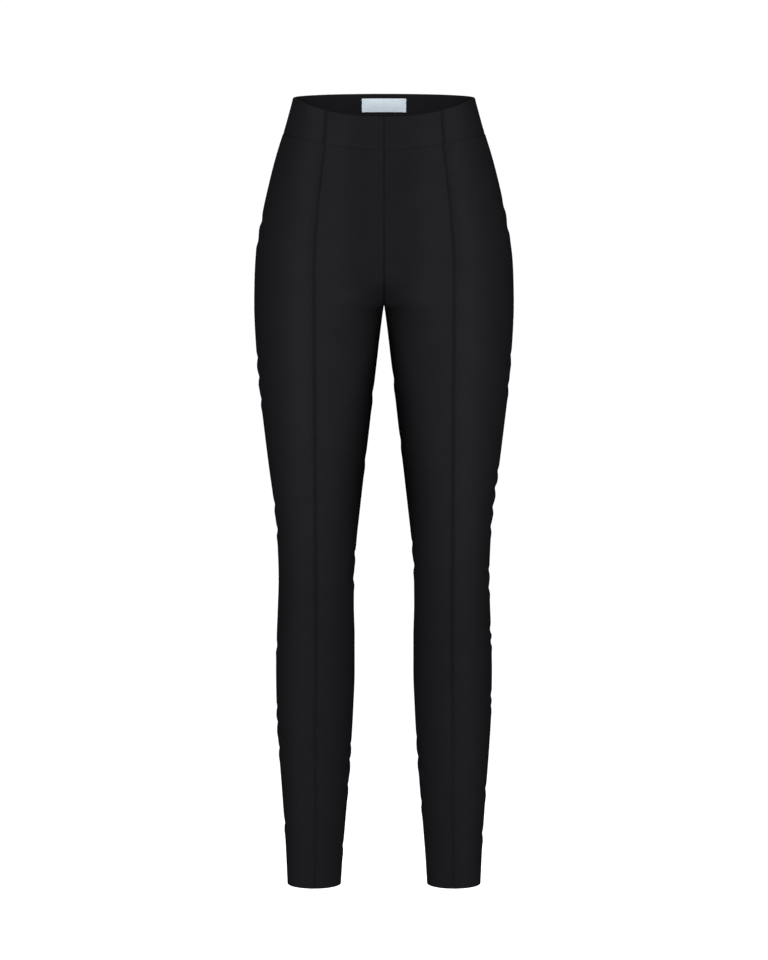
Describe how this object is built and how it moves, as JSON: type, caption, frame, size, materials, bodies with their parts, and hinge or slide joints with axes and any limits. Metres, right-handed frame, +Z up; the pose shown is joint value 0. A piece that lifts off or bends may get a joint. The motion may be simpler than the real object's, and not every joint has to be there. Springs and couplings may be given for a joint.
{
  "type": "leggings",
  "caption": "High-waisted pull-on leggings, filled out and hollow, with a waistband, a bare label inside its back and a pintuck down each front leg.",
  "frame": {"origin": "centre of the waistline, level with the top edge of the waistband at its sides and back, where the wearer's waist holds the leggings up", "axes": "+Z up, out of the waist opening; -Y to the front; +X to the wearer's left"},
  "size_m": [0.3158, 0.2478, 0.9647],
  "materials": {
    "leg_knit": "matt black firm knit",
    "band_knit": "matt black firm knit, doubled",
    "label_weave": "pale grey-blue woven label, bare"
  },
  "bodies": {
    "root": {"front_leg_left": "leg_knit", "front_leg_right": "leg_knit", "back_leg_left": "leg_knit", "back_leg_right": "leg_knit", "waistband_front_left": "band_knit", "waistband_front_right": "band_knit", "waistband_side_left": "band_knit", "waistband_side_right": "band_knit", "waistband_back": "band_knit", "label": "label_weave"}
  },
  "joints": []
}
